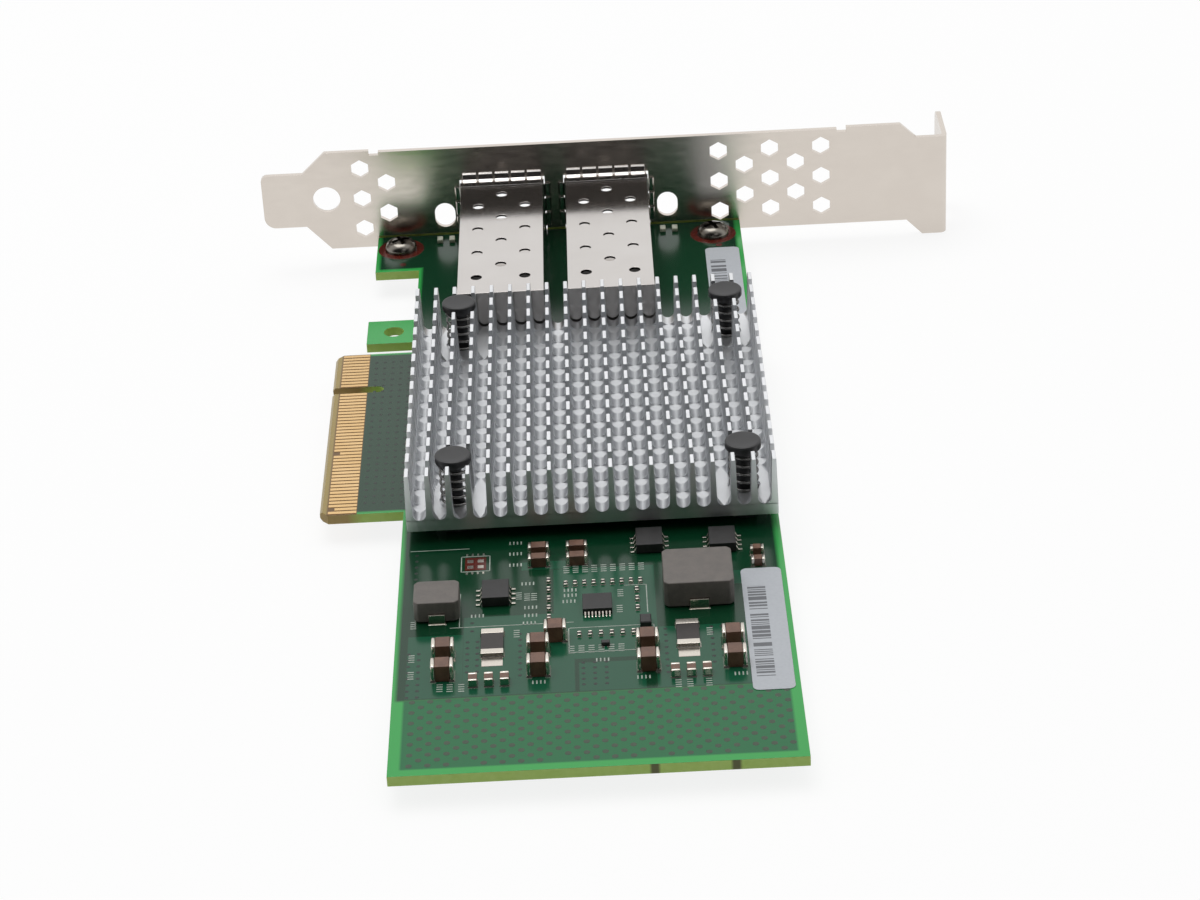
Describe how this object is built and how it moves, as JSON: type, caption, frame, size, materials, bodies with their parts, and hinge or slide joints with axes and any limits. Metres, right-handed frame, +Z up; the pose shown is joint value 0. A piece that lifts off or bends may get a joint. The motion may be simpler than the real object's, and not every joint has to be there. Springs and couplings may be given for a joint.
{
  "type": "network interface card",
  "caption": "Network interface card: circuit board with a gold contact edge, pin-fin heatsink on sprung push pins, sheet-metal port cages and a vented steel mounting bracket.",
  "frame": {"origin": "where the key notch's centre line meets the contact edge, on the component side of the board", "axes": "+X from the contact edge to the card's top edge, +Y along the card towards the bracket, +Z up from the component side"},
  "size_m": [0.12, 0.1762, 0.0213],
  "materials": {
    "screw_steel": "plated steel",
    "label_paper": "plain paper label",
    "resistor_body": "dark coated ceramic",
    "tinned_metal": "tinned ends and leads",
    "board": "green solder mask over glass laminate",
    "chip": "chip package",
    "package_black": "moulded package",
    "gold": "pale gold plating",
    "ceramic": "brown ceramic",
    "sink_aluminium": "bare extruded and cut",
    "bracket_steel": "satin plated steel sheet",
    "choke_core": "pressed powder core",
    "cage_steel": "bright nickel sheet",
    "black_plastic": "dark moulded plastic",
    "spring_steel": "blackened spring wire",
    "collar_plastic": "dark moulded plastic",
    "light": "pale moulded lens",
    "pad": "soft grey pad"
  },
  "bodies": {
    "root": {"bracket_screws": "screw_steel", "bracket_side_label": "label_paper", "chip_resistor_bodies": "resistor_body", "chip_resistor_ends": "tinned_metal", "circuit_board": "board", "controller_chip": "chip", "driver_chip_body": "package_black", "driver_chip_leads": "tinned_metal", "edge_contacts_component_side": "gold", "edge_contacts_solder_side": "gold", "filter_capacitor_bodies": "ceramic", "filter_capacitor_ends": "tinned_metal", "heatsink": "sink_aluminium", "io_bracket": "bracket_steel", "large_choke": "choke_core", "large_choke_terminals": "tinned_metal", "left_port_cage": "cage_steel", "left_port_connector": "black_plastic", "left_spring_collar": "cage_steel", "power_capacitor_bodies": "ceramic", "power_capacitor_ends": "tinned_metal", "power_switch_bodies": "package_black", "power_switch_leads": "tinned_metal", "push_pin_springs": "spring_steel", "push_pins": "black_plastic", "rear_label": "label_paper", "right_port_cage": "cage_steel", "right_port_connector": "black_plastic", "right_spring_collar": "cage_steel", "sense_resistor_bodies": "resistor_body", "sense_resistor_ends": "tinned_metal", "signal_capacitor_bodies": "ceramic", "signal_capacitor_ends": "tinned_metal", "small_choke": "choke_core", "small_choke_terminals": "tinned_metal", "standoff_collars": "collar_plastic", "status_lights": "light", "thermal_pad": "pad"}
  },
  "joints": []
}
